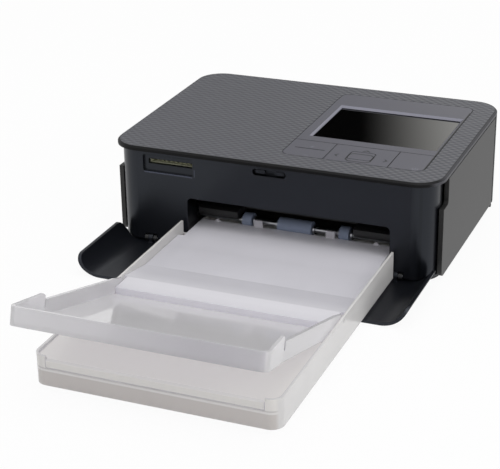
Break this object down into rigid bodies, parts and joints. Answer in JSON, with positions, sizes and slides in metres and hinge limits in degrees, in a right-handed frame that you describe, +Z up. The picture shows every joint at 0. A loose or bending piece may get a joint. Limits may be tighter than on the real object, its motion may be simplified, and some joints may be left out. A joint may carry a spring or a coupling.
{
  "type": "compact photo printer",
  "caption": "Compact dye-sublimation photo printer with its front cover open, a paper cassette in the mouth, a tilted output tray, a display panel and a side door over the ribbon cartridge.",
  "frame": {"origin": "on the table plane, under the middle of the housing's footprint (cassette and front cover not counted)", "axes": "+X to the printer's right as seen from the front, front face towards -Y, +Z up"},
  "size_m": [0.1822, 0.3061, 0.0576],
  "materials": {
    "grey_rim": "matt",
    "patterned_top": "fine moulded pattern",
    "panel_grey": "satin",
    "key_grey": "satin",
    "side_grey": "fine grain",
    "fascia_dark": "satin",
    "base_dark": "matt",
    "guide_black": "matt",
    "cover_dark": "satin",
    "frosted_clear": "frosted translucent",
    "glass_black": "gloss",
    "foot_rubber": "matt",
    "roller_rubber": "ribbed",
    "platen_rubber": "ground",
    "steel": "zinc coated",
    "shaft_steel": "ground",
    "head_aluminium": "extruded",
    "ceramic": "glazed",
    "pinion_brass": "machined",
    "gear_white": "satin",
    "board_green": "lacquered",
    "display_frame": "matt",
    "socket_black": "matt",
    "socket_light": "matt",
    "ribbon_film": "gloss film",
    "ribbon_take_up": "gloss film",
    "ribbon_supply": "gloss film",
    "shell_black": "matt",
    "paper": "coated paper"
  },
  "bodies": {
    "housing": {"base_pan": "base_dark", "rubber_feet": "foot_rubber", "case_screws": "shaft_steel", "front_fascia": "fascia_dark", "top_cover": "grey_rim", "top_skin": "patterned_top", "control_panel": "panel_grey", "lcd_glass": "glass_black", "lcd_module": "display_frame", "key_board": "board_green", "left_side_panel": "side_grey", "rear_panel": "grey_rim", "main_board": "board_green", "usb_port": "shaft_steel", "dc_jack": "socket_black", "card_board": "board_green", "card_socket": "socket_light", "chassis": "steel", "stepper_motor": "steel", "ribbon_shell": "shell_black", "ribbon_film": "ribbon_film", "paper_guide": "guide_black", "cover_hinge_pins": "shaft_steel"},
    "front_cover": {"front_cover": "cover_dark"},
    "ink_door": {"ink_door": "side_grey"},
    "feed": {"feed_roller": "shaft_steel", "feed_gear": "gear_white"},
    "pinch": {"pinch_roller": "shaft_steel"},
    "platen": {"platen_shaft": "shaft_steel", "platen_sleeve": "platen_rubber"},
    "pickup": {"pickup_shaft": "shaft_steel", "pickup_rollers": "roller_rubber", "pickup_gear": "gear_white"},
    "pickup_idler": {"pickup_idler_gear": "gear_white"},
    "motor_rotor": {"motor_shaft": "shaft_steel", "motor_pinion": "pinion_brass"},
    "ribbon_idler": {"ribbon_idler_gear": "gear_white"},
    "take_up": {"ribbon_gear": "gear_white", "take_up_spool": "ribbon_take_up"},
    "supply": {"supply_spool": "ribbon_supply"},
    "head": {"print_head": "ceramic", "head_carrier": "head_aluminium"},
    "left_key": {"left_key": "key_grey"},
    "pad_pivot": {"pad_pivot": "shell_black"},
    "direction_pad": {"direction_pad": "key_grey"},
    "ok_key": {"ok_key": "key_grey"},
    "power_key": {"power_key": "key_grey"},
    "cassette": {"cassette_base": "frosted_clear", "inner_lid": "frosted_clear", "paper_stack": "paper"},
    "output_tray": {"output_tray": "frosted_clear"}
  },
  "joints": [
    {"name": "front_cover_hinge", "type": "hinge", "parent": "housing", "child": "front_cover", "pos_m": [0, -0.0629, 0.0041], "axis": [-1, 0, 0], "range_deg": [0, 1]},
    {"name": "ink_door_hinge", "type": "hinge", "parent": "housing", "child": "ink_door", "pos_m": [0.08985, 0.04995, 0.028], "axis": [0, 0, 1], "range_deg": [0, 100]},
    {"name": "cassette_slide", "type": "slide", "parent": "housing", "child": "cassette", "axis": [0, -1, 0], "range_m": [0, 0.05]},
    {"name": "output_tray_hinge", "type": "hinge", "parent": "cassette", "child": "output_tray", "pos_m": [0.0093, -0.143, 0.0166], "axis": [-1, 0, 0], "range_deg": [0, 120]},
    {"name": "feed_spin", "type": "hinge", "parent": "housing", "child": "feed", "pos_m": [0, -0.006, 0.02275], "axis": [1, 0, 0], "continuous": true},
    {"name": "pinch_spin", "type": "hinge", "parent": "housing", "child": "pinch", "pos_m": [0, -0.006, 0.03025], "axis": [1, 0, 0], "continuous": true},
    {"name": "platen_spin", "type": "hinge", "parent": "housing", "child": "platen", "pos_m": [0, 0.008, 0.02125], "axis": [1, 0, 0], "continuous": true},
    {"name": "pickup_spin", "type": "hinge", "parent": "housing", "child": "pickup", "pos_m": [0, -0.0443, 0.0144], "axis": [1, 0, 0], "continuous": true},
    {"name": "pickup_idler_spin", "type": "hinge", "parent": "housing", "child": "pickup_idler", "pos_m": [0, -0.02632, 0.01832], "axis": [1, 0, 0], "continuous": true},
    {"name": "motor_spin", "type": "hinge", "parent": "housing", "child": "motor_rotor", "pos_m": [0, -0.02396, 0.03171], "axis": [1, 0, 0], "continuous": true},
    {"name": "ribbon_idler_spin", "type": "hinge", "parent": "housing", "child": "ribbon_idler", "pos_m": [0, 0.01342, 0.0302], "axis": [1, 0, 0], "continuous": true},
    {"name": "take_up_spin", "type": "hinge", "parent": "housing", "child": "take_up", "pos_m": [0, 0.02985, 0.0365], "axis": [1, 0, 0], "continuous": true},
    {"name": "supply_spin", "type": "hinge", "parent": "housing", "child": "supply", "pos_m": [0, -0.019, 0.0365], "axis": [1, 0, 0], "continuous": true},
    {"name": "head_lift", "type": "slide", "parent": "housing", "child": "head", "axis": [0, 0, 1], "range_m": [0, 0.0015]},
    {"name": "left_key_rock", "type": "hinge", "parent": "housing", "child": "left_key", "pos_m": [0.013, -0.03825, 0.0552], "axis": [1, 0, 0], "range_deg": [-1.2, 1.2], "stiffness_Nm_per_rad": 0.3},
    {"name": "pad_side_tilt", "type": "hinge", "parent": "housing", "child": "pad_pivot", "pos_m": [0.0421, -0.03825, 0.0553], "axis": [0, 1, 0], "range_deg": [-1, 1], "stiffness_Nm_per_rad": 0.3},
    {"name": "pad_front_tilt", "type": "hinge", "parent": "pad_pivot", "child": "direction_pad", "pos_m": [0.0421, -0.03825, 0.0559], "axis": [1, 0, 0], "range_deg": [-1, 1], "stiffness_Nm_per_rad": 0.3},
    {"name": "ok_key_press", "type": "slide", "parent": "housing", "child": "ok_key", "axis": [0, 0, -1], "range_m": [0, 0.0004], "stiffness_N_per_m": 1500},
    {"name": "power_key_press", "type": "slide", "parent": "housing", "child": "power_key", "axis": [0, 0, -1], "range_m": [0, 0.0004], "stiffness_N_per_m": 1500}
  ],
  "couplings": [
    {"joint": "pinch_spin", "follows": "feed_spin", "ratio": -1.4},
    {"joint": "platen_spin", "follows": "feed_spin", "ratio": 0.73684},
    {"joint": "pickup_idler_spin", "follows": "feed_spin", "ratio": -1.3636},
    {"joint": "pickup_spin", "follows": "feed_spin", "ratio": 1.25},
    {"joint": "motor_spin", "follows": "feed_spin", "ratio": 2.5},
    {"joint": "ribbon_idler_spin", "follows": "feed_spin", "ratio": -1.3636},
    {"joint": "take_up_spin", "follows": "feed_spin", "ratio": 1.3636},
    {"joint": "supply_spin", "follows": "feed_spin", "ratio": -1.1029}
  ]
}
